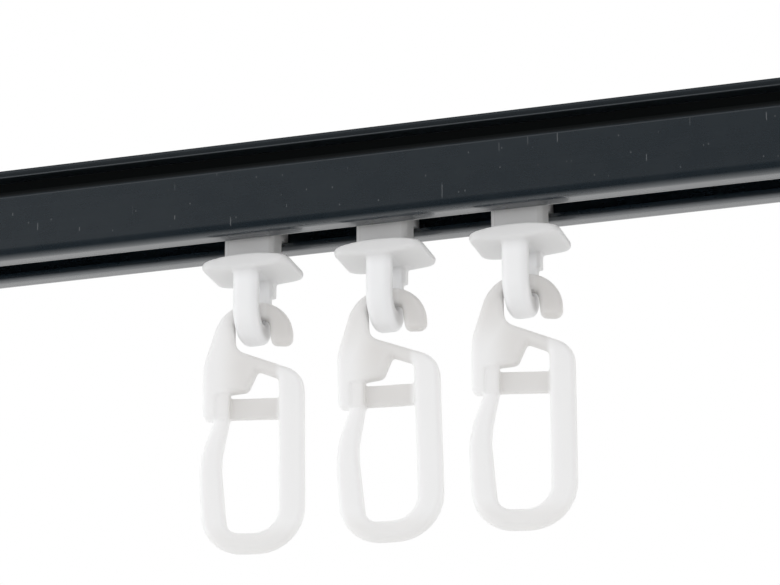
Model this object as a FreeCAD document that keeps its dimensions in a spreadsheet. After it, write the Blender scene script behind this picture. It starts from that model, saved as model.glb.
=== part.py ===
import FreeCAD, Part
import math
import os
import Sketcher

# Curtain track with three gliders and their pleat hooks, in millimetres.
# X runs along the rail, -Y is the room side, +Z is up.
# The origin is the middle of the rail's top face, which lies against the ceiling.

SIZES = {
    # rail extrusion
    "rail_length": 200,
    "rail_depth": 14.8,
    "rail_height": 15.5,
    "flange_depth": 14.4,
    "flange_thickness": 1.3,
    "groove_height": 2.5,
    "groove_depth": 2.6,
    "shoulder_height": 1.1,
    "shoulder_setback": 0.45,
    "roof_thickness": 1.4,
    "rail_wall": 1.2,
    "slot_width": 6.0,
    "slot_edge": 0.9,
    "lip_thickness": 1.2,
    "rail_corner": 1.6,
    # end caps
    "cap_thickness": 1.5,
    "cap_edge": 0.5,
    "plug_length": 6.0,
    "plug_gap": 0.1,
    # gliders
    "glider_pitch": 22.5,
    "head_length": 8.6,
    "head_depth": 10.6,
    "head_height": 2.6,
    "head_lift": 0.3,
    "head_edge": 0.6,
    "neck_length": 8.6,
    "neck_depth": 4.8,
    "neck_corner": 0.8,
    "plate_length": 14.9,
    "plate_depth": 9.9,
    "plate_drop": 5.3,
    "plate_edge": 1.1,
    "plate_peak": 1.55,
    "plate_belly": 0.4,
    "plate_corner": 1.6,
    "plate_round": 0.5,
    "eye_width": 4.4,
    "eye_depth": 8.8,
    "eye_bore": 4.6,
    "eye_floor": 3.2,
    "eye_drop": 11.4,
    "eye_edge": 1.35,
    "bore_edge": 0.7,
    "stub_width": 5.4,
    "stub_drop": 2.7,
    # hooks
    "hook_turn_left": 14.0,
    "hook_turn_middle": 10.0,
    "hook_turn_right": 13.0,
    "hook_lean_left": 0.6,
    "hook_lean_middle": 1.5,
    "hook_width": 17.0,
    "hook_drop": 40.7,
    "hook_thickness": 2.8,
    "hook_edge": 0.9,
    "saddle_gap": 0.8,
    "throat_width": 5.5,
    "throat_drop": 6.8,
    "arch_thickness": 2.75,
    "tip_width": 3.9,
    "tip_drop": 5.9,
    "tip_flare": 0.4,
    "throat_splay": 0.1,
    "shoulder_slant": 3.4,
    "arm_fall": 4.2,
    "arm_thickness": 2.0,
    "leg_width": 4.15,
    "gate_width": 3.6,
    "gate_bow": 0.7,
    "loop_floor": 3.2,
    "catch_drop": 18.6,
    "catch_inset": 0.6,
    "catch_wall": 2.0,
    "catch_width": 4.4,
    "catch_recess": 0.4,
    "wedge_width": 9.0,
    "wedge_drop": 13.8,
    "wedge_taper": 1.0,
    "bar_gap": 1.0,
    "bar_height": 3.45,
    "bar_thickness": 1.3,
    "bar_setback": 0.1,
}

doc = FreeCAD.newDocument("curtain_track")
dims = doc.addObject("Spreadsheet::Sheet", "dims")
for row, (alias, value) in enumerate(SIZES.items(), start=1):
    dims.set(f"A{row}", alias)
    dims.set(f"B{row}", str(value))
    dims.setAlias(f"B{row}", alias)
doc.recompute()


def size(expression):
    """Present value of an expression of the sheet, as a plain number."""
    value = dims.evalExpression(expression)
    return float(getattr(value, "Value", value))


def new_body(label):
    body = doc.addObject("PartDesign::Body", label)
    body.Label = label
    return body


def new_sketch(body, name, plane, offset=None):
    """Empty sketch on one of the body's own planes, moved along the plane's normal."""
    sketch = body.newObject("Sketcher::SketchObject", name)
    support = next(f for f in body.Origin.OriginFeatures if f.Role == plane)
    sketch.AttachmentSupport = (support, [""])
    sketch.MapMode = "FlatFace"
    if offset:
        sketch.setExpression("AttachmentOffset.Base.z", offset)
    return sketch


def pin(sketch, geometry, position, x, y):
    """Tie a point of the sketch to two expressions of the sheet."""
    for kind, expression in (("DistanceX", x), ("DistanceY", y)):
        index = sketch.addConstraint(
            Sketcher.Constraint(kind, -1, 1, geometry, position, size(expression))
        )
        sketch.setExpression(f"Constraints[{index}]", expression)


def draw_outline(sketch, corners):
    """Closed outline of straight sides whose corners (x, y, radius) are round where a radius is given."""
    count = len(corners)
    points = [FreeCAD.Vector(size(x), size(y), 0) for x, y, _ in corners]
    radii = [size(r) if r else 0.0 for _, _, r in corners]
    ways = [(points[(i + 1) % count] - points[i]).normalize() for i in range(count)]
    starts, ends, arcs = list(points), list(points), [None] * count
    for i in range(count):
        if not corners[i][2]:
            continue
        before, after = ways[i - 1], ways[i]
        turn = math.atan2(before.cross(after).z, before.dot(after))
        reach = radii[i] * math.tan(abs(turn) / 2)
        ends[i] = points[i] - before * reach
        starts[i] = points[i] + after * reach
        side = FreeCAD.Vector(-before.y, before.x, 0) * math.copysign(radii[i], turn)
        arcs[i] = (ends[i] + side, turn)
    lines = []
    for i in range(count):
        lines.append(sketch.addGeometry(Part.LineSegment(starts[i], ends[(i + 1) % count]), False))
    for i in range(count):
        x, y, radius = corners[i]
        coming, going = lines[i - 1], lines[i]
        if arcs[i] is None:
            sketch.addConstraint(Sketcher.Constraint("Coincident", coming, 2, going, 1))
            pin(sketch, going, 1, x, y)
            continue
        centre, turn = arcs[i]
        first, last = (ends[i], starts[i]) if turn > 0 else (starts[i], ends[i])
        angles = [math.atan2(p.y - centre.y, p.x - centre.x) for p in (first, last)]
        circle = Part.Circle(centre, FreeCAD.Vector(0, 0, 1), radii[i])
        arc = sketch.addGeometry(Part.ArcOfCircle(circle, *angles), False)
        begin, finish = (1, 2) if turn > 0 else (2, 1)
        corner = sketch.addGeometry(Part.Point(points[i]), True)
        pin(sketch, corner, 1, x, y)
        sketch.addConstraint(Sketcher.Constraint("PointOnObject", corner, 1, coming))
        sketch.addConstraint(Sketcher.Constraint("PointOnObject", corner, 1, going))
        sketch.addConstraint(Sketcher.Constraint("Tangent", coming, 2, arc, begin))
        sketch.addConstraint(Sketcher.Constraint("Tangent", arc, finish, going, 1))
        index = sketch.addConstraint(Sketcher.Constraint("Radius", arc, radii[i]))
        sketch.setExpression(f"Constraints[{index}]", radius)


def draw_rectangle(sketch, left, right, low, high, radius=None):
    draw_outline(
        sketch,
        [(left, low, radius), (right, low, radius), (right, high, radius), (left, high, radius)],
    )


def pad(body, name, sketch, length, symmetric=True, flipped=False):
    feature = body.newObject("PartDesign::Pad", name)
    feature.Profile = sketch
    feature.SideType = "Symmetric" if symmetric else "One side"
    feature.Reversed = flipped
    feature.setExpression("Length", length)
    doc.recompute()
    return feature


def round_edges(body, name, feature, radius, wanted):
    """Round the edges of a feature that a test on the edge picks out."""
    edges = feature.Shape.Edges
    names = [f"Edge{i}" for i, edge in enumerate(edges, start=1) if wanted(edge)]
    fillet = body.newObject("PartDesign::Fillet", name)
    fillet.Base = (feature, names)
    fillet.setExpression("Radius", radius)
    doc.recompute()
    return fillet


def lies_at(edge, axis, *levels):
    """Whether the whole edge keeps one of the given coordinates along an axis."""
    box = edge.BoundBox
    low = getattr(box, f"{axis}Min")
    high = getattr(box, f"{axis}Max")
    return any(abs(low - level) < 0.01 and abs(high - level) < 0.01 for level in levels)


def reaches_out(edge, x, y):
    """Whether the middle of the edge lies outside a rectangle of the given half sizes."""
    centre = edge.BoundBox.Center
    return abs(centre.x) > x or abs(centre.y) > y


def half_depth(edge):
    """Farthest that the edge lies from the middle plane, front or rear."""
    return max(edge.BoundBox.YMax, -edge.BoundBox.YMin)


def make_rail():
    """One extrusion: flat top flange, clip groove along each side, channel with a slot below."""
    body = new_body("rail")
    face = "dims.rail_depth / 2"
    flange = "dims.flange_depth / 2"
    web = "(dims.rail_depth / 2 - dims.groove_depth)"
    shoulder = "(dims.rail_depth / 2 - dims.shoulder_setback)"
    inside = "(dims.rail_depth / 2 - dims.rail_wall)"
    slot = "dims.slot_width / 2"
    groove_top = "-dims.flange_thickness"
    groove_low = "-dims.flange_thickness - dims.groove_height"
    face_top = f"{groove_low} - dims.shoulder_height"
    roof = f"{groove_low} - dims.roof_thickness"
    bottom = "-dims.rail_height"
    lip = "-dims.rail_height + dims.lip_thickness"
    half = [
        (flange, "0 * dims.rail_height", None),
        (flange, groove_top, None),
        (web, groove_top, None),
        (web, groove_low, None),
        (shoulder, groove_low, None),
        (face, face_top, None),
        (face, bottom, "dims.rail_corner"),
        (slot, bottom, "dims.slot_edge"),
        (slot, lip, None),
        (inside, lip, None),
        (inside, roof, None),
    ]
    mirrored = [(f"-({x})", y, radius) for x, y, radius in reversed(half)]
    profile = new_sketch(body, "rail_profile", "YZ_Plane")
    draw_outline(profile, half + mirrored)
    hollow = f"({web} - dims.rail_wall)"
    draw_rectangle(profile, f"-{hollow}", hollow, groove_low, groove_top)
    pad(body, "rail_pad", profile, "dims.rail_length")
    return body


def make_cap(label, side):
    """Moulded cap: a plate over the rail's end and a plug that fits its channel."""
    body = new_body(label)
    face = "dims.rail_depth / 2"
    plate = new_sketch(body, f"{label}_plate", "YZ_Plane")
    draw_rectangle(
        plate, f"-{face}", face, "-dims.rail_height", "0 * dims.rail_height", "dims.rail_corner"
    )
    plate_pad = pad(body, f"{label}_plate_pad", plate, "dims.cap_thickness", False, side < 0)
    outer = size("dims.cap_thickness") * side
    rounded = round_edges(
        body, f"{label}_edge", plate_pad, "dims.cap_edge", lambda edge: lies_at(edge, "X", outer)
    )
    reach = "(dims.rail_depth / 2 - dims.rail_wall - dims.plug_gap)"
    low = "-dims.rail_height + dims.lip_thickness + dims.plug_gap"
    high = "-dims.flange_thickness - dims.groove_height - dims.roof_thickness - dims.plug_gap"
    plug = new_sketch(body, f"{label}_plug", "YZ_Plane")
    draw_rectangle(plug, f"-{reach}", reach, low, high)
    pad(body, f"{label}_plug_pad", plug, "dims.plug_length", False, side > 0)
    body.setExpression("Placement.Base.x", f"{side} * dims.rail_length / 2")
    return body


PLATE_LOW = "(-dims.rail_height - dims.plate_drop)"
BORE_LEVEL = f"({PLATE_LOW} - dims.eye_drop + dims.eye_floor + dims.eye_bore / 2)"


def make_glider(label, step):
    """One moulding: head on the lips, neck in the slot, bowed plate below, eye with a rear stub."""
    body = new_body(label)
    head_low = "(-dims.rail_height + dims.lip_thickness + dims.head_lift)"
    plate_rim = f"({PLATE_LOW} + dims.plate_belly)"
    plate_end = f"({plate_rim} + dims.plate_edge)"

    eye = new_sketch(body, f"{label}_eye", "YZ_Plane")
    outer = "dims.eye_depth / 2"
    bore = "dims.eye_bore / 2"
    low = f"{PLATE_LOW} - dims.eye_drop"
    sunk = f"{PLATE_LOW} + dims.plate_edge / 2"
    draw_outline(
        eye,
        [
            (f"-{outer}", low, "dims.eye_depth * 0.6"),
            (outer, low, "dims.eye_depth * 0.38"),
            (outer, sunk, None),
            (bore, sunk, None),
            (bore, f"{low} + dims.eye_floor", "dims.eye_bore * 0.495"),
            (f"-{bore}", f"{low} + dims.eye_floor", "dims.eye_bore * 0.495"),
            (f"-{bore}", sunk, None),
            (f"-{outer}", sunk, None),
        ],
    )
    eye_pad = pad(body, f"{label}_eye_pad", eye, "dims.eye_width")
    side = size("dims.eye_width") / 2
    inner = size(bore)
    rounded = round_edges(
        body,
        f"{label}_eye_edge",
        eye_pad,
        "dims.eye_edge",
        lambda edge: lies_at(edge, "X", side, -side)
        and half_depth(edge) > inner + 0.01
        and not lies_at(edge, "Z", size(sunk)),
    )
    round_edges(
        body,
        f"{label}_bore_edge",
        rounded,
        "dims.bore_edge",
        lambda edge: lies_at(edge, "X", side, -side) and half_depth(edge) < inner + 0.01,
    )

    stub = new_sketch(body, f"{label}_stub", "XZ_Plane", f"-{outer}")
    draw_rectangle(
        stub, "-dims.stub_width / 2", "dims.stub_width / 2", f"{PLATE_LOW} - dims.stub_drop", sunk, None
    )
    pad(body, f"{label}_stub_pad", stub, f"{outer} - {bore}", False)

    head = new_sketch(body, f"{label}_head", "XZ_Plane")
    draw_rectangle(
        head, "-dims.head_length / 2", "dims.head_length / 2", head_low, f"{head_low} + dims.head_height"
    )
    head_pad = pad(body, f"{label}_head_pad", head, "dims.head_depth")
    head_top = size(f"{head_low} + dims.head_height")
    round_edges(
        body, f"{label}_head_edge", head_pad, "dims.head_edge", lambda edge: lies_at(edge, "Z", head_top)
    )

    neck = new_sketch(body, f"{label}_neck", "XY_Plane", head_low)
    draw_rectangle(
        neck,
        "-dims.neck_length / 2",
        "dims.neck_length / 2",
        "-dims.neck_depth / 2",
        "dims.neck_depth / 2",
        "dims.neck_corner",
    )
    pad(body, f"{label}_neck_pad", neck, f"{head_low} - {plate_end}", False, True)

    plate = new_sketch(body, f"{label}_plate", "XZ_Plane")
    end = "dims.plate_length / 2"
    bow = f"0.8 * ({end}) ^ 2 / dims.plate_peak"
    belly = f"0.4 * ({end}) ^ 2 / dims.plate_belly"
    draw_outline(
        plate,
        [
            (f"-{end}", plate_rim, None),
            ("0 * dims.plate_length", f"{PLATE_LOW} - dims.plate_belly", belly),
            (end, plate_rim, None),
            (end, plate_end, None),
            ("0 * dims.plate_length", f"{plate_end} + dims.plate_peak", bow),
            (f"-{end}", plate_end, None),
        ],
    )
    plate_pad = pad(body, f"{label}_plate_pad", plate, "dims.plate_depth")
    end_x = size("dims.plate_length") / 2
    end_y = size("dims.plate_depth") / 2
    corners = round_edges(
        body,
        f"{label}_plate_corner",
        plate_pad,
        "dims.plate_corner",
        lambda edge: lies_at(edge, "X", end_x, -end_x) and lies_at(edge, "Y", end_y, -end_y),
    )
    rim = size(plate_rim)
    clear_x = size("(dims.plate_length + dims.stub_width) / 4")
    clear_y = size("(dims.plate_depth + dims.eye_depth) / 4")
    round_edges(
        body,
        f"{label}_plate_round",
        corners,
        "dims.plate_round",
        lambda edge: edge.BoundBox.ZMax < rim + 0.01 and reaches_out(edge, clear_x, clear_y),
    )

    body.setExpression("Placement.Base.x", f"{step} * dims.glider_pitch")
    return body


def make_hook(label, step, turn, lean):
    """One moulding round the eye's bore axis: arch and tip, body, arm, long loop, catch and cross bar."""
    body = new_body(label)
    right = "dims.hook_width / 2"
    left = "-dims.hook_width / 2"
    throat = "dims.throat_width / 2"
    heel = f"({throat} - dims.throat_splay)"
    wall = f"({left} + dims.catch_inset)"
    tip_out = f"{throat} + dims.tip_width"
    saddle = "(dims.saddle_gap - dims.eye_bore / 2)"
    crest = f"({saddle} + dims.arch_thickness)"
    top = f"({tip_out} - {wall} - dims.shoulder_slant)"
    steep = f"(({crest} + 0.52 * dims.catch_drop) / dims.shoulder_slant)"
    back = f"(-{throat} - {wall} - dims.shoulder_slant + dims.arch_thickness / {steep})"
    thin = f"({back} * {steep} / sqrt(1 + {steep} ^ 2))"
    arm_end = "(-dims.throat_drop - dims.arm_fall)"
    wall_in = f"({wall} + dims.catch_wall)"
    block = f"({wall} + dims.catch_width)"
    gate = f"({left} + dims.gate_width)"
    catch = "(-dims.catch_drop)"
    loop_low = "(-dims.hook_drop)"
    loop_in = "(-dims.hook_drop + dims.loop_floor)"
    bow_level = "(-0.36 * dims.catch_drop - 0.46 * dims.hook_drop)"
    leg_in = f"({right} - dims.leg_width)"

    outline = new_sketch(body, f"{label}_outline", "XZ_Plane")
    draw_outline(
        outline,
        [
            (f"{throat} + dims.tip_flare", "-dims.tip_drop", "dims.hook_edge * 1.15"),
            (tip_out, "-dims.tip_drop - dims.tip_flare / 2", "dims.hook_edge * 1.4"),
            (tip_out, crest, f"min(0.5 * {top}; 0.8 * ({crest} + dims.tip_drop))"),
            (f"{wall} + dims.shoulder_slant", crest, f"0.6 * {top}"),
            (wall, f"0.52 * {catch}", "dims.hook_drop * 0.2"),
            (wall, catch, "dims.hook_edge * 1.35"),
            (wall_in, catch, "dims.hook_edge * 0.35"),
            (left, bow_level, "dims.hook_drop * 0.4"),
            (f"{left} + dims.gate_bow", loop_low, "dims.hook_width * 0.38"),
            (right, loop_low, "dims.hook_width * 0.46"),
            (right, arm_end, "dims.hook_width * 0.24"),
            (f"-{heel}", "-dims.throat_drop", "dims.throat_width * 0.4"),
            (f"-{throat}", saddle, "dims.throat_width * 0.2"),
            (throat, saddle, "dims.throat_width * 0.2"),
        ],
    )
    # window of the loop, with the wedge of the body hanging into it
    slope = f"(dims.arm_fall / ({right} + {heel}))"
    under = f"(-dims.throat_drop - dims.arm_thickness * sqrt(1 + {slope} ^ 2) - {slope} * {heel})"
    wedge = f"({left} + dims.wedge_width)"
    wedge_top = f"({wedge} + dims.wedge_taper / 2)"
    wedge_low = "-dims.wedge_drop"
    draw_outline(
        outline,
        [
            (wedge_top, f"{under} - {slope} * {wedge_top}", "dims.hook_edge * 0.4"),
            (leg_in, f"{under} - {slope} * {leg_in}", "dims.hook_edge"),
            (leg_in, loop_in, "dims.hook_width * 0.24"),
            (f"{gate} + 1.5 * dims.gate_bow", loop_in, "dims.hook_width * 0.12"),
            (gate, bow_level, "dims.hook_drop * 0.4"),
            (block, catch, None),
            (block, f"{wedge_low} - dims.bar_gap / 3", None),
            (f"{wedge} - dims.wedge_taper", wedge_low, "dims.hook_edge * 1.4"),
        ],
    )
    plate = pad(body, f"{label}_plate", outline, "dims.hook_thickness")
    skin = size("dims.hook_thickness") / 2
    round_edges(
        body,
        f"{label}_edge",
        plate,
        f"min(dims.hook_edge; 0.45 * {thin})",
        lambda edge: lies_at(edge, "Y", skin, -skin),
    )

    # flat bar across the loop, in its rear half, let into the catch and the leg
    bar_top = f"({wedge_low} - dims.bar_gap)"
    let_in = "dims.hook_edge / 2"
    bar = new_sketch(body, f"{label}_bar", "XZ_Plane", "-dims.hook_thickness / 2 + dims.bar_setback")
    draw_rectangle(
        bar, f"{block} - {let_in}", f"{leg_in} + {let_in}", f"{bar_top} - dims.bar_height", bar_top
    )
    pad(body, f"{label}_bar_pad", bar, "dims.bar_thickness", False)

    # the loop's free end lies a little behind the catch's wall
    seat = new_sketch(body, f"{label}_seat", "XZ_Plane", "dims.hook_thickness / 2")
    seat_low = f"{catch} - dims.bar_setback"
    draw_rectangle(
        seat, wall_in, f"{block} + {let_in}", seat_low, f"{wedge_low} - dims.bar_gap / 2"
    )
    before = body.Shape.Volume
    pocket = body.newObject("PartDesign::Pocket", f"{label}_seat_pocket")
    pocket.Profile = seat
    pocket.setExpression("Length", "dims.catch_recess")
    doc.recompute()
    if body.Shape.Volume >= before - 0.1:
        raise RuntimeError(f"{label}: the seat's pocket removes nothing")

    centre = f"create(<<vector>>; {step} * dims.glider_pitch; 0; {BORE_LEVEL})"
    body.setExpression(
        "Placement", f"create(<<placement>>; {centre}; create(<<rotation>>; {turn}; {lean}; 0))"
    )
    return body


pieces = [make_rail(), make_cap("end_cap_left", -1), make_cap("end_cap_right", 1)]
for step, place, lean in (
    (-1, "left", "-dims.hook_lean_left"),
    (0, "middle", "-dims.hook_lean_middle"),
    (1, "right", "0"),
):
    pieces.append(make_glider(f"glider_{place}", step))
    pieces.append(make_hook(f"hook_{place}", step, f"dims.hook_turn_{place}", lean))
doc.recompute()

for item in doc.Objects:
    if {"Invalid", "Error"} & set(item.State):
        raise RuntimeError(f"{item.Label} failed: {item.State}")
for piece in pieces:
    if piece.Shape.isNull() or not piece.Shape.isValid() or len(piece.Shape.Solids) != 1:
        raise RuntimeError(f"{piece.Label} has no sound single solid")

os.makedirs("parts", exist_ok=True)
for piece in pieces:
    piece.Shape.exportStep(f"parts/{piece.Label}.step")
    box = piece.Shape.BoundBox
    print(
        f"{piece.Label}: {piece.Shape.Volume:.0f} mm3,"
        f" X {box.XMin:.2f} to {box.XMax:.2f},"
        f" Y {box.YMin:.2f} to {box.YMax:.2f},"
        f" Z {box.ZMin:.2f} to {box.ZMax:.2f}"
    )
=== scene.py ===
import bpy
import numpy as np
from mathutils import Matrix, Vector

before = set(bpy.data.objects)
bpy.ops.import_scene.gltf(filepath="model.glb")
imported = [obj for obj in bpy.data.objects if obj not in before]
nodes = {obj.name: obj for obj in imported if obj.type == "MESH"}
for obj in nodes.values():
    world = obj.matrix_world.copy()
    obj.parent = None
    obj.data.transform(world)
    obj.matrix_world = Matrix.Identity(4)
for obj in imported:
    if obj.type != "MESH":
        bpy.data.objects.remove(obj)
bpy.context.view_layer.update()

scene = bpy.context.scene
mm = 0.001
middles = {"left": -22.5, "middle": 0.0, "right": 22.5}  # where the three gliders rest along the rail
print("frame loaded:", ", ".join(sorted(nodes)))


class Wire:  # a shader socket that can stand in a sum
    def __init__(self, tree, socket=None):
        self.tree = tree
        self.socket = socket

    def plug(self, socket, value):
        if isinstance(value, Wire):
            self.tree.links.new(value.socket, socket)
        else:
            socket.default_value = value

    def node(self, kind, settings=None, inputs=None, output=0):  # settings first, then values or links
        made = self.tree.nodes.new("ShaderNode" + kind)
        for name, value in (settings or {}).items():
            setattr(made, name, value)
        for name, value in (inputs or {}).items():
            self.plug(made.inputs[name], value)
        return Wire(self.tree, made.outputs[output])

    def sum(self, operation, first, second=0.0):
        return self.node("Math", {"operation": operation}, {0: first, 1: second})

    def __add__(self, other):
        return self.sum("ADD", self, other)

    def __radd__(self, other):
        return self.sum("ADD", other, self)

    def __sub__(self, other):
        return self.sum("SUBTRACT", self, other)

    def __rsub__(self, other):
        return self.sum("SUBTRACT", other, self)

    def __mul__(self, other):
        return self.sum("MULTIPLY", self, other)

    def __rmul__(self, other):
        return self.sum("MULTIPLY", other, self)

    def __truediv__(self, other):
        return self.sum("DIVIDE", self, other)

    def __rtruediv__(self, other):
        return self.sum("DIVIDE", other, self)

    def __neg__(self):
        return self.sum("SUBTRACT", 0.0, self)

    def __abs__(self):
        return self.sum("ABSOLUTE", self)

    def larger(self, other):
        return self.sum("MAXIMUM", self, other)

    def rise(self, low, high):  # 0 below low, 1 above high, smooth between
        return self.node(
            "MapRange",
            {"interpolation_type": "SMOOTHSTEP", "clamp": True},
            {"Value": self, "From Min": low, "From Max": high},
        )

    def between(self, start, end):  # up over the first pair, down over the second
        return self.rise(*start) * (1 - self.rise(*end))

    def band(self, centre, half, soft):  # 1 within half of centre
        return 1 - abs(self - centre).rise(half, half + soft)


def newFinish(name):
    finish = bpy.data.materials.new(name)
    finish.use_nodes = True
    return finish, Wire(finish.node_tree), finish.node_tree.nodes["Principled BSDF"]


def split(wire, vector, axes="XYZ"):
    return [wire.node("SeparateXYZ", None, {0: vector}, axis) for axis in axes]


def place(wire):  # object coordinates and their three parts, in millimetres
    spot = wire.node("TexCoord", output="Object")
    scaled = wire.node("VectorMath", {"operation": "SCALE"}, {0: spot, "Scale": 1 / mm})
    return [scaled] + split(wire, scaled)


def cloud(wire, spot, scale, detail=3.0, rough=0.5):  # grey noise about 0.5, scale in waves a millimetre
    values = {"Vector": spot, "Scale": scale, "Detail": detail, "Roughness": rough}
    return wire.node("TexNoise", None, values)


def cells(wire, spot, scale, output):  # flat random cells
    values = {"Vector": spot, "Scale": scale}
    return wire.node("TexVoronoi", {"voronoi_dimensions": "2D"}, values, output)


def tint(wire, share, first, second):  # colour between two, by share; each is plain or a wire
    pair = [colour if isinstance(colour, Wire) else (*colour, 1.0) for colour in (first, second)]
    return wire.node("Mix", {"data_type": "RGBA"}, {"Factor": share, 6: pair[0], 7: pair[1]}, 2)


def bumped(wire, strength, distance, height):
    return wire.node("Bump", None, {"Strength": strength, "Distance": distance, "Height": height})


def blend(wire, share, first, second):  # two shaders, by share
    return wire.node("MixShader", None, {0: share, 1: first, 2: second})


def setSurface(tree, surface):
    surface.plug(tree.nodes["Material Output"].inputs["Surface"], surface)


def setConstants(shader, values):
    for name, value in values.items():
        shader.inputs[name].default_value = value


railWear = {
    "stretch": (0.42, 0.24),  # random cells in a millimetre, along the face and down it
    "width": (0.03, 0.10),
    "ends": (0.5, 1.0),
    "length": (0.25, 1.3),  # the shortest rub's, and what the longest has more
    "strength": (0.35, 0.65),  # the faintest rub's, and what the brightest has more
    "chance": (0.84, 0.94),
    "leftEnd": (-66.0, -34.0),  # more rubs towards the left
    "leftMore": 0.16,
    "rubs": 0.8,
    "speckScale": 1.3,
    "speckSize": (0.03, 0.07),
    "speckChance": (0.80, 0.95),
    "specks": 0.5,
}


def railMarks(wire, x, z):  # short upright rubs and specks of dust, a chance of each in every cell
    s = railWear
    alongScale, downScale = s["stretch"]
    along = x * alongScale
    down = z * downScale
    flat = wire.node("CombineXYZ", None, {0: along, 1: down})
    cellAlong, cellDown = split(wire, cells(wire, flat, 1.0, "Position"), "XY")
    dice = cells(wire, flat, 1.0, "Color")
    luck, longer, brighter = [wire.node("SeparateColor", None, {0: dice}, i) for i in range(3)]
    sideways = abs(along - cellAlong) / alongScale
    upright = abs(down - cellDown) / downScale
    length = s["length"][0] + s["length"][1] * longer
    strength = s["strength"][0] + s["strength"][1] * brighter
    worn = 1 - x.rise(*s["leftEnd"])
    line = (1 - sideways.rise(*s["width"])) * (1 - (upright / length).rise(*s["ends"]))
    rub = line * (luck + s["leftMore"] * worn).rise(*s["chance"]) * strength
    speckDice = cells(wire, flat, s["speckScale"], "Color")
    speckLuck = wire.node("SeparateColor", None, {0: speckDice}, 1)
    speck = 1 - cells(wire, flat, s["speckScale"], "Distance").rise(*s["speckSize"])
    dust = speck * speckLuck.rise(*s["speckChance"])
    return (rub * s["rubs"]).larger(dust * s["specks"])


railCoat = {
    "colour": (0.0092, 0.0170, 0.0240),
    "paler": (0.0118, 0.0206, 0.0284),
    # painted shade: the groove's darker colour
    "groove": (0.0085, 0.0098, 0.0100),
    "wearAndHighlight": (0.16, 0.17, 0.18),  # metal that shows through in real wear, also the colour of the painted highlights along edges
    "roughness": 0.24,
    "roughMore": {"shade": 0.08, "wearAndHighlight": 0.2, "sunk": 0.6},
    "constants": {"IOR": 1.6, "Coat IOR": 1.6, "Coat Roughness": 0.10},
    "mottle": (0.22, 4.0, 0.55),
    "drawStretch": (0.012, 3.0),  # draw lines are long along the rail and fine across it
    "drawLines": (1.0, 2.0),
    "shadeParts": (0.7, 0.3),  # of mottle and draw lines
    "shadeSpread": (0.3, 0.7),
    "grain": (5.0, 2.0),
    "bump": (0.02, 0.02 * mm),
    # millimetres down from the rail's top; a pair is where a soft edge starts and ends
    "flangeTop": (0.0, 0.9),
    "flangeLow": (1.2, 1.3),
    "grooveTop": (1.25, 1.4),
    "grooveLow": (4.0, 5.0),
    "faceTop": (4.9, 5.0),
    "faceLow": (14.2, 14.6),
    "underside": (14.4, 15.0),
    "slotCorner": (14.9, 15.2),
    "lip": (15.3, 15.4),
    # three numbers are a line's middle, half width and soft edge
    "flangeHighlightUpper": (0.30, 0.04, 0.08),  # two painted highlights along the flange's edges
    "flangeHighlightLower": (1.16, 0.04, 0.08),
    # painted highlight along the face's top edge
    "faceEdgeHighlight": (4.9, 0.05, 0.12),
    # millimetres from the rail's middle plane
    "roomSide": (6.9, 7.1),
    # painted highlight along each slot edge
    "slotEdgeHighlight": (3.3, 0.2, 0.25),
    "lipLine": (4.1, 0.12, 0.2),  # a shallow draw line along each lip
    # how strong the painted highlights along the edges are, and how much less gloss there is
    "highlightShares": {"flangeHighlightUpper": 0.12, "flangeHighlightLower": 0.30, "faceEdgeHighlight": 0.22, "slotEdgeHighlight": 0.45},
    "lipLineDull": 0.4,
    "undersideDull": 0.2,
    # painted shade on the flange's front, as a share of the dark matt
    "flangeShadeShare": 0.5,
}


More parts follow.
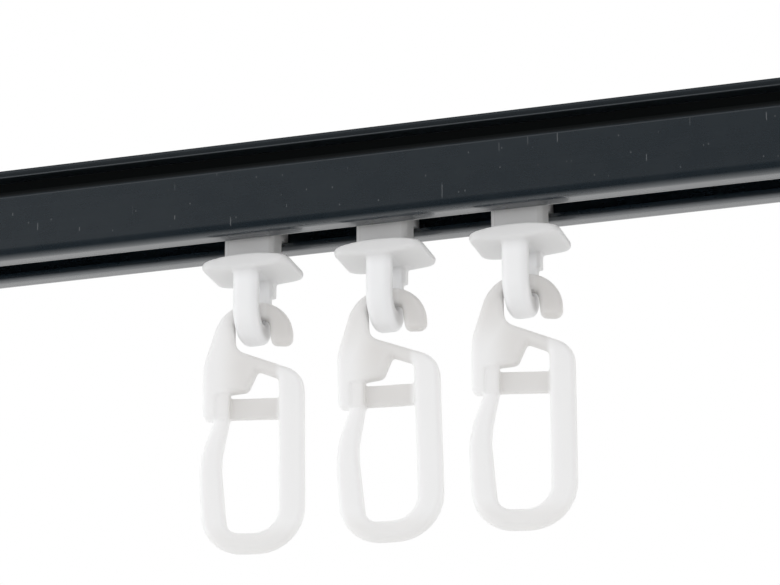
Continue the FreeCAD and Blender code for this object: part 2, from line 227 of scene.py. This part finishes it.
def coatedRail():  # satin anthracite coat with faint draw lines, and wear on the room side; painted highlights along the edges, painted shade in the groove and on the flange
    s = railCoat
    finish, wire, shader = newFinish("railCoat")
    spot, x, y, z = place(wire)
    down = -z
    lengthwise, crosswise = s["drawStretch"]
    stretched = wire.node("CombineXYZ", None, {0: x * lengthwise, 1: y * crosswise, 2: z * crosswise})
    drawLines = cloud(wire, stretched, *s["drawLines"])
    mottlePart, drawPart = s["shadeParts"]
    shade = cloud(wire, spot, *s["mottle"]) * mottlePart + drawLines * drawPart
    shade = shade.rise(*s["shadeSpread"])
    # metal that shows in real wear on the face, then painted highlights along the edges
    shares = s["highlightShares"]
    front = (-y).rise(*s["roomSide"])
    marks = front * down.between(s["faceTop"], s["faceLow"]) * railMarks(wire, x, z)
    edgeHighlight = front * down.band(*s["faceEdgeHighlight"]) * shares["faceEdgeHighlight"]
    flangeHighlightUpper = down.band(*s["flangeHighlightUpper"])
    flangeHighlightLower = down.band(*s["flangeHighlightLower"])
    flangeHighlights = front * (flangeHighlightUpper * shares["flangeHighlightUpper"]).larger(flangeHighlightLower * shares["flangeHighlightLower"])
    slotEdgeHighlight = abs(y).band(*s["slotEdgeHighlight"]) * down.rise(*s["slotCorner"]) * shares["slotEdgeHighlight"]
    wearAndHighlight = marks.larger(edgeHighlight).larger(flangeHighlights).larger(slotEdgeHighlight)
    # painted shade: the groove is a dark matt sheet without coat, and the flange's front above it fades
    # halfway towards that, except along its painted lower highlight
    sunk = down.between(s["grooveTop"], s["grooveLow"])
    flangeShade = down.between(s["flangeTop"], s["flangeLow"]) * (1 - flangeHighlightLower)
    coat = tint(wire, sunk, tint(wire, shade, s["colour"], s["paler"]), s["groove"])
    wire.plug(shader.inputs["Base Color"], tint(wire, wearAndHighlight, coat, s["wearAndHighlight"]))
    lipLine = abs(y).band(*s["lipLine"]) * down.rise(*s["lip"])
    under = down.rise(*s["underside"])
    gloss = (1 - sunk) * (1 - s["lipLineDull"] * lipLine) * (1 - s["undersideDull"] * under)
    wire.plug(shader.inputs["Coat Weight"], gloss)
    more = s["roughMore"]
    rough = s["roughness"] + more["shade"] * shade + more["wearAndHighlight"] * wearAndHighlight + more["sunk"] * sunk
    wire.plug(shader.inputs["Roughness"], rough)
    grain = cloud(wire, spot, *s["grain"]) + drawLines
    wire.plug(shader.inputs["Normal"], bumped(wire, *s["bump"], grain))
    setConstants(shader, s["constants"])
    coated = Wire(finish.node_tree, shader.outputs[0])
    # painted shade: a dark matt diffuse over the groove and, at a share, over the flange's front
    matt = wire.node("BsdfDiffuse", None, {"Color": (*s["groove"], 1.0), "Roughness": 1.0})
    setSurface(finish.node_tree, blend(wire, sunk.larger(s["flangeShadeShare"] * flangeShade), coated, matt))
    return finish


whitePlastic = {
    "patchScale": 0.12,
    "patchSpread": (0.3, 0.7),
    "skinScale": 2.2,
    "roughness": 0.34,
    "roughMore": 0.12,
    "bump": (0.08, 0.03 * mm),
    "constants": {
        "IOR": 1.48,
        "Subsurface Weight": 0.5,
        "Subsurface Scale": 2.0 * mm,
        "Subsurface Radius": (1.0, 1.0, 1.0),
    },
}


def mouldedWhite(name, colourWithPaintedLight):  # milky white moulding with a fine skin; its colour, painted light and shade included, comes from the colour function given
    s = whitePlastic
    finish, wire, shader = newFinish(name)
    spot, x, y, z = place(wire)
    patch = cloud(wire, spot, s["patchScale"]).rise(*s["patchSpread"])
    skin = cloud(wire, spot, s["skinScale"])
    wire.plug(shader.inputs["Base Color"], colourWithPaintedLight(wire, x, y, z, patch))
    wire.plug(shader.inputs["Roughness"], s["roughness"] + s["roughMore"] * skin)
    wire.plug(shader.inputs["Normal"], bumped(wire, *s["bump"], skin))
    setConstants(shader, s["constants"])
    return finish


gliderWhite = {
    # painted shade and light: the first colour greys the plate and neck, the second whitens the eye; the
    # third is painted shade on the neck's side and stub, and the real parting line's colour
    "shadedWhite": (0.765, 0.765, 0.765),
    "thin": (0.92, 0.925, 0.935),
    "seamAndShade": (0.66, 0.655, 0.645),
    # millimetres down from the rail's top; a pair is where a soft edge starts and ends
    "neckLow": (18.2, 18.6),
    "eyeTop": (20.0, 23.0),
    "stubTop": (21.0, 21.5),
    # millimetres along the rail from the glider's middle
    "eyeHalf": (1.9, 2.2),
    "stubFrom": (2.0, 2.3),
    "seam": (-3.5, 0.03, 0.07),  # a fine parting line at the neck's left: middle, half width, soft edge
    "neckSide": (3.4, 3.55),
    "eyeShares": (0.9, 0.1),  # of the lit white, even and in patches
    # how far each place goes to the darkest colour: a real parting line, and painted shade on the neck's
    # right side and the stub
    "seamShare": 0.8,
    "neckSideShadeShare": 0.5,
    "stubShadeShare": 0.1,
}


def gliderFinish(side):  # painted light and shade: the eye is painted the whitest, the rest greyer, the neck's right side and the stub greyer still; the neck has a real parting line at its left
    s = gliderWhite

    def colour(wire, x, y, z, patch):
        along = x - middles[side]
        down = -z
        even, patchy = s["eyeShares"]
        # painted light: the eye is painted whiter than the rest
        eye = down.rise(*s["eyeTop"]) * (1 - abs(along).rise(*s["eyeHalf"]))
        white = tint(wire, eye * (even + patchy * patch), s["shadedWhite"], s["thin"])
        stub = down.rise(*s["stubTop"]) * along.rise(*s["stubFrom"])
        neck = 1 - down.rise(*s["neckLow"])
        seam = along.band(*s["seam"]) * s["seamShare"]
        neckSide = along.rise(*s["neckSide"]) * s["neckSideShadeShare"]
        shade = (stub * s["stubShadeShare"]).larger(seam.larger(neckSide) * neck)
        return tint(wire, shade, white, s["seamAndShade"])

    return mouldedWhite("gliderPlastic" + side.title(), colour)


hookWhite = {
    # the first is painted shade, warmer where the plastic is thick; the second is the lit white of the
    # slim legs
    "shadedWhite": (0.74, 0.725, 0.708),
    "thin": (0.95, 0.948, 0.945),
    "axis": 26.7,  # depth of the eye's bore, from which the hook's own heights are taken
    "turns": {"left": 14.0, "middle": 10.0, "right": 13.0},  # degrees that each hook hangs turned by
    # heights from the bore in millimetres; a pair is where a soft edge starts and ends
    "legTop": (-11.5, -7.0),
    "bodyLow": (-19.5, -18.4),
    "bar": (-16.5, 1.8, 0.3),  # the cross bar's middle, half height and soft edge
    "tipLow": (-7.2, -6.0),
    "shoulderLow": (-13.0, -3.5),
    "footTop": (-39.0, -35.5),
    # millimetres across the hook from its middle
    "legFrom": (3.7, 4.8),
    "bodyFrom": (-6.4, -0.8),
    "barFrom": (-4.2, -3.2),
    "tipFrom": (1.2, 2.8),
    # how far each place goes to the greyer white: painted shade, with a warmer tone where the plastic is
    # thick
    "bodyShadeShare": 0.72,
    "barShadeShare": 0.82,
    "footShadeShare": 0.34,
    # painted shadow cast on the shoulder by the neighbour on the left
    "shoulderShadowShares": {"left": 0.1, "middle": 0.5, "right": 0.75},
    "patchShares": (0.92, 0.08),  # of all that, even and in patches
}


def hookFinish(side):  # painted light and shade: the slim legs are painted the whitest; the body, bar, tip, shoulder and foot are painted greyer, with a warmer tone where the plastic is thick
    s = hookWhite
    turn = np.radians(s["turns"][side])

    def colour(wire, x, y, z, patch):
        across = (x - middles[side]) * float(np.cos(turn)) + y * float(np.sin(turn))
        level = z + s["axis"]
        leg = across.rise(*s["legFrom"]) * (1 - level.rise(*s["legTop"]))
        body = level.rise(*s["bodyLow"]) * across.rise(*s["bodyFrom"]) * (1 - leg)
        bar = level.band(*s["bar"]) * across.rise(*s["barFrom"]) * (1 - leg)
        tip = across.rise(*s["tipFrom"]) * level.rise(*s["tipLow"])
        shoulderShadow = level.rise(*s["shoulderLow"]) * s["shoulderShadowShares"][side]
        footShade = 1 - level.rise(*s["footTop"])
        # painted shade on the body, bar, tip and foot, and a painted shadow on the shoulder
        share = (body * s["bodyShadeShare"]).larger(bar * s["barShadeShare"]).larger(tip)
        share = share.larger(shoulderShadow).larger(footShade * s["footShadeShare"])
        even, patchy = s["patchShares"]
        return tint(wire, 1 - share * (even + patchy * patch), s["shadedWhite"], s["thin"])

    return mouldedWhite("hookPlastic" + side.title(), colour)


capPlastic = {
    "colour": (0.012, 0.0125, 0.014),
    "paler": (0.020, 0.021, 0.023),
    "grainScale": 4.0,
    "grainSpread": (0.4, 0.65),
    "roughness": 0.5,
    "roughMore": 0.15,
    "bump": (0.25, 0.06 * mm),
}


def mouldedCap():  # matt black moulding with a fine spark-eroded grain
    s = capPlastic
    finish, wire, shader = newFinish("capPlastic")
    grain = cloud(wire, place(wire)[0], s["grainScale"])
    colour = tint(wire, grain.rise(*s["grainSpread"]), s["colour"], s["paler"])
    wire.plug(shader.inputs["Base Color"], colour)
    wire.plug(shader.inputs["Roughness"], s["roughness"] + s["roughMore"] * grain)
    wire.plug(shader.inputs["Normal"], bumped(wire, *s["bump"], grain))
    return finish


def dress(name, finish):  # one finish over a whole piece
    mesh = nodes[name].data
    mesh.materials.clear()
    mesh.materials.append(finish)


softened = {
    "join": 0.005 * mm,
    "voxel": 0.17 * mm,
    "pull": 0.5,
    "rounds": {"glider": 16, "hook": 10},
}


def soften(name, kind):  # blends like a moulding's: the skin is remade in small squares and relaxed
    s = softened
    piece = nodes[name]
    weld = piece.modifiers.new("join", "WELD")
    weld.merge_threshold = s["join"]
    skin = piece.modifiers.new("skin", "REMESH")
    skin.mode = "VOXEL"
    skin.voxel_size = s["voxel"]
    skin.use_smooth_shade = True
    relax = piece.modifiers.new("relax", "SMOOTH")
    relax.factor = s["pull"]
    relax.iterations = s["rounds"][kind]


dress("rail", coatedRail())
capFinish = mouldedCap()
for side in ("left", "right"):
    dress("end_cap_" + side, capFinish)
for side in middles:
    for kind, makeFinish in (("glider", gliderFinish), ("hook", hookFinish)):
        dress(kind + "_" + side, makeFinish(side))
        soften(kind + "_" + side, kind)
print("finishes set")


def rayKinds(wire):  # seen by the camera, mirrored, or seen through something clear
    kinds = ("Camera", "Glossy", "Transmission")
    return [wire.node("LightPath", output=f"Is {kind} Ray") for kind in kinds]


floorSheet = {
    "level": -0.9,
    "half": 6.0,
    "squares": 4,
    "colour": (0.94, 0.94, 0.935),
    "roughness": 0.9,
    "whiteFrom": (1.0, 2.6),  # distance over which the floor fades into the white background
    "mirrorFrom": (-0.9, 0.5),  # mirrored, the floor is dark in front and white at the rear
    "mirrorDark": 0.02,
}


def makeFloor():  # flat sheet: x and y run over a square grid, z is constant
    s = floorSheet
    count = s["squares"] + 1
    span = np.linspace(-s["half"], s["half"], count)
    gx, gy = np.meshgrid(span, span, indexing="ij")
    points = np.stack([gx, gy, np.full_like(gx, s["level"])], -1).reshape(-1, 3)
    i, j = np.meshgrid(np.arange(s["squares"]), np.arange(s["squares"]), indexing="ij")
    first = (i * count + j).ravel()
    faces = np.stack([first, first + count, first + count + 1, first + 1], -1)
    mesh = bpy.data.meshes.new("floor")
    mesh.from_pydata(points.tolist(), [], faces.tolist())
    mesh.update()
    floor = bpy.data.objects.new("floor", mesh)
    scene.collection.objects.link(floor)
    finish, wire, shader = newFinish("paleFloor")
    setConstants(shader, {"Base Color": (*s["colour"], 1.0), "Roughness": s["roughness"]})

    def glow(strength):
        return wire.node("Emission", None, {"Color": (1.0, 1.0, 1.0, 1.0), "Strength": strength})

    white = glow(1.0)
    spot = wire.node("TexCoord", output="Object")
    reach = wire.node("VectorMath", {"operation": "LENGTH"}, {0: spot}, "Value")
    rearward = split(wire, spot, "Y")[0]
    camera, glossy, through = rayKinds(wire)
    pale = Wire(finish.node_tree, shader.outputs[0])
    faded = blend(wire, (camera * reach.rise(*s["whiteFrom"])).larger(through), pale, white)
    mirrored = blend(wire, rearward.rise(*s["mirrorFrom"]), glow(s["mirrorDark"]), white)
    setSurface(finish.node_tree, blend(wire, glossy, faded, mirrored))
    mesh.materials.append(finish)


studio = {
    "frontSoft": (0.86, 0.86, 0.87),  # light from the viewer's side
    "leftSoft": (1.02, 1.03, 1.04),
    "rightSoft": (0.95, 0.93, 0.91),  # the right is a little dimmer and warmer
    "rearSoft": (0.76, 0.76, 0.76),
    # a pair is where one light passes into the next, in a direction's own x, y or z
    "leftToRight": (-0.5, 0.6),
    "sideToRear": (0.1, 0.8),
    "frontToSide": (-0.9, 0.1),
    "mirrorToRear": (-0.25, 0.25),
    "mirrorDark": (0.02, 0.02, 0.02),  # mirrored, the room behind the viewer is dark
    "mirrorPale": (0.19, 0.19, 0.19),  # with a paler window above, brighter towards the left
    "windowLow": (0.02, 0.32),
    "windowTop": (0.5, 0.85),
    "windowLeft": (0.0, 0.6),
    "windowShares": (0.5, 0.72),  # the right's, and what the left has more
}


def makeWorld():  # white seen directly; soft grey light; a darker room behind the viewer in reflections
    s = studio
    world = bpy.data.worlds.new("studio")
    scene.world = world
    world.use_nodes = True
    wire = Wire(world.node_tree)
    x, y, z = split(wire, wire.node("TexCoord", output="Generated"))
    camera, glossy, through = rayKinds(wire)

    def glow(colour):
        return wire.node("Background", None, {"Color": (*colour, 1.0), "Strength": 1.0})

    white = glow((1.0, 1.0, 1.0))
    sides = blend(wire, x.rise(*s["leftToRight"]), glow(s["leftSoft"]), glow(s["rightSoft"]))
    around = blend(wire, y.rise(*s["sideToRear"]), sides, glow(s["rearSoft"]))
    soft = blend(wire, y.rise(*s["frontToSide"]), glow(s["frontSoft"]), around)
    least, more = s["windowShares"]
    window = z.between(s["windowLow"], s["windowTop"]) * (least + more * (-x).rise(*s["windowLeft"]))
    front = blend(wire, window, glow(s["mirrorDark"]), glow(s["mirrorPale"]))
    mirrored = blend(wire, y.rise(*s["mirrorToRear"]), front, white)
    lit = blend(wire, glossy, soft, mirrored)
    seen = blend(wire, camera.larger(through), lit, white)
    wire.plug(world.node_tree.nodes["World Output"].inputs["Surface"], seen)


leftKey = {"at": (-0.70, -0.31, 0.03), "aim": (0.0, 0.0, -0.03), "size": 0.55, "watts": 1.0}


def makeLamp():  # a soft square lamp aimed at the middle glider
    s = leftKey
    data = bpy.data.lights.new("leftKey", "AREA")
    data.shape = "SQUARE"
    data.size = s["size"]
    data.energy = s["watts"]
    lamp = bpy.data.objects.new("leftKey", data)
    lamp.location = s["at"]
    aim = Vector(s["aim"]) - lamp.location
    lamp.rotation_mode = "QUATERNION"
    lamp.rotation_quaternion = aim.to_track_quat("-Z", "Y")
    scene.collection.objects.link(lamp)


viewpoint = {
    "eye": (0.1563, -0.5026, -0.2197),
    "right": (0.9553, 0.2955, 0.0),
    "up": (0.1021, -0.3301, 0.9384),
    "forward": (-0.2773, 0.8965, 0.3455),
    "lens": 161.54,
    "sensor": 36.0,
    "nearest": 0.01,
    "farthest": 50.0,
}


def makeCamera():  # the photo's viewpoint
    s = viewpoint
    data = bpy.data.cameras.new("camera")
    data.sensor_width = s["sensor"]
    data.lens = s["lens"]
    data.clip_start = s["nearest"]
    data.clip_end = s["farthest"]
    camera = bpy.data.objects.new("camera", data)
    turn = Matrix((s["right"], s["up"], [-c for c in s["forward"]])).transposed()
    camera.matrix_world = Matrix.Translation(s["eye"]) @ turn.to_4x4()
    scene.collection.objects.link(camera)
    scene.camera = camera


makeFloor()
makeWorld()
makeLamp()
makeCamera()
scene.view_settings.view_transform = "Standard"
print("room, lamp and camera set")
